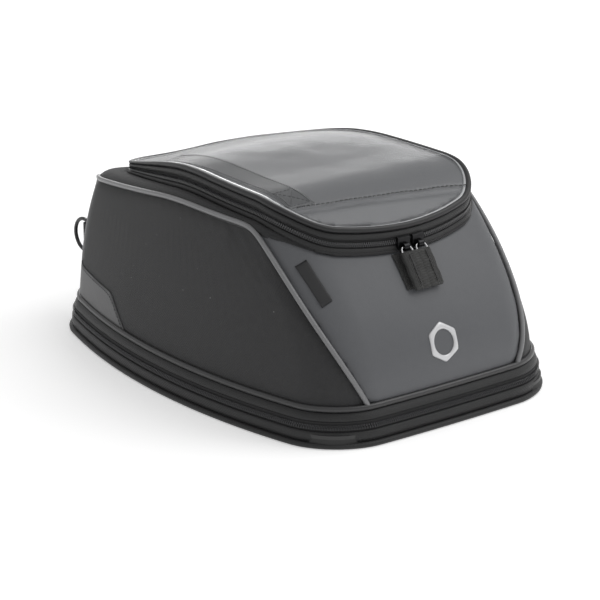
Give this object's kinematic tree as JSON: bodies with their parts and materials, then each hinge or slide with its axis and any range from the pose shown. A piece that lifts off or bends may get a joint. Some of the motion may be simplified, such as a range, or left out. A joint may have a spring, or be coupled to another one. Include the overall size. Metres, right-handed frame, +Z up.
{
  "type": "tank bag",
  "caption": "Expandable motorcycle tank bag with zipped clear-window lid, twin zip sliders, pull tab, accessory D-rings and an underside tank-ring socket.",
  "frame": {"origin": "axis of the tank-ring socket, on the plane that the base rests on", "axes": "+X along the bag towards the end with the zip sliders, +Y to the bag's left, +Z up"},
  "size_m": [0.4312, 0.2998, 0.179],
  "materials": {
    "side_fabric": "fine black polyester weave, coated",
    "front_fabric": "dark grey coated fabric, matte",
    "patch_leather": "grey synthetic leather",
    "black_webbing": "black woven band",
    "zip_tape": "black coil zip on woven tape",
    "dark_piping": "dark grey piping",
    "grey_piping": "light grey satin piping",
    "clear_film": "clear glossy film",
    "lining_fabric": "grey lining",
    "label_fabric": "black woven label",
    "silver_print": "silver transfer print",
    "hook_tape": "black hook-and-loop tape",
    "strap_webbing": "black webbing",
    "moulded_plastic": "black moulded plastic, fine texture",
    "pad_rubber": "non-slip foam rubber",
    "board_plastic": "stiff black board",
    "black_metal": "black painted zinc",
    "ring_steel": "steel wire",
    "screw_steel": "zinc-plated steel"
  },
  "bodies": {
    "base": {"base_pad": "pad_rubber", "base_binding": "black_webbing", "base_band": "black_webbing", "base_board": "board_plastic", "expansion_zip_lower": "zip_tape", "expansion_gusset": "lining_fabric", "tank_ring_socket": "moulded_plastic", "backing_plate": "screw_steel", "socket_screws": "screw_steel", "socket_nuts": "screw_steel"},
    "shell": {"side_panel_right": "side_fabric", "side_panel_left": "side_fabric", "shoulder_panel": "side_fabric", "rear_panel": "side_fabric", "front_panel": "front_fabric", "corner_patch_right": "patch_leather", "corner_patch_left": "patch_leather", "mouth_band": "black_webbing", "skirt_band": "black_webbing", "lid_hinge_strip": "black_webbing", "main_zip_lower": "zip_tape", "expansion_zip_upper": "zip_tape", "foot_piping": "dark_piping", "side_piping_right": "grey_piping", "side_piping_left": "grey_piping", "body_lining": "lining_fabric", "label_tag": "label_fabric", "front_emblem": "silver_print", "keeper_patch": "hook_tape", "ring_loop_right": "strap_webbing", "ring_loop_left": "strap_webbing"},
    "lid": {"main_zip_upper": "zip_tape", "lid_band": "black_webbing", "window_piping": "dark_piping", "lid_panel": "front_fabric", "window_film": "clear_film", "window_strip": "black_webbing", "lid_lining": "lining_fabric"},
    "slider_right": {"zip_slider_right": "black_metal"},
    "slider_left": {"zip_slider_left": "black_metal"},
    "tab_ring_right": {"pull_ring_right": "ring_steel", "pull_tab": "hook_tape"},
    "ring_left": {"pull_ring_left": "ring_steel"},
    "d_ring_right": {"d_ring_right": "moulded_plastic"},
    "d_ring_left": {"d_ring_left": "moulded_plastic"},
    "expansion_slider": {"expansion_slider": "black_metal"},
    "expansion_pull": {"expansion_pull": "black_metal"},
    "socket_latch": {"socket_latch": "moulded_plastic", "latch_pull": "strap_webbing"}
  },
  "joints": [
    {"name": "expansion", "type": "slide", "parent": "base", "child": "shell", "axis": [0, 0, 1], "range_m": [0, 0.07], "deforming": ["expansion_gusset"]},
    {"name": "lid_hinge", "type": "hinge", "parent": "shell", "child": "lid", "pos_m": [-0.178, 0, 0.13793], "axis": [0, -1, 0], "range_deg": [0, 95]},
    {"name": "zip_right_travel", "type": "hinge", "parent": "shell", "child": "slider_right", "pos_m": [-0.0249, 0, 0.22787], "axis": [-0.454, 0, -0.891], "range_deg": [0, 18]},
    {"name": "zip_left_travel", "type": "hinge", "parent": "shell", "child": "slider_left", "pos_m": [-0.0249, 0, 0.22787], "axis": [0.454, 0, 0.891], "range_deg": [0, 18]},
    {"name": "tab_swing", "type": "hinge", "parent": "slider_right", "child": "tab_ring_right", "pos_m": [0.1518, -0.0075, 0.1373], "axis": [0, -1, 0], "range_deg": [0, 75]},
    {"name": "ring_left_swing", "type": "hinge", "parent": "slider_left", "child": "ring_left", "pos_m": [0.1518, 0.0075, 0.1373], "axis": [0, -1, 0], "range_deg": [0, 75]},
    {"name": "d_ring_right_swing", "type": "hinge", "parent": "shell", "child": "d_ring_right", "pos_m": [-0.205, -0.08, 0.07], "axis": [0, 0, 1], "range_deg": [-75, 75]},
    {"name": "d_ring_left_swing", "type": "hinge", "parent": "shell", "child": "d_ring_left", "pos_m": [-0.205, 0.08, 0.07], "axis": [0, 0, 1], "range_deg": [-75, 75]},
    {"name": "expansion_zip_travel", "type": "slide", "parent": "base", "child": "expansion_slider", "axis": [0, -1, 0], "range_m": [0, 0.08]},
    {"name": "expansion_pull_swing", "type": "hinge", "parent": "expansion_slider", "child": "expansion_pull", "pos_m": [-0.2076, 0.042, 0.017], "axis": [0, 1, 0], "range_deg": [0, 120]},
    {"name": "latch_slide", "type": "slide", "parent": "base", "child": "socket_latch", "axis": [-1, 0, 0], "range_m": [0, 0.006], "stiffness_N_per_m": 200, "springref_m": -0.004}
  ],
  "couplings": [
    {"joint": "ring_left_swing", "follows": "tab_swing", "ratio": 1}
  ]
}
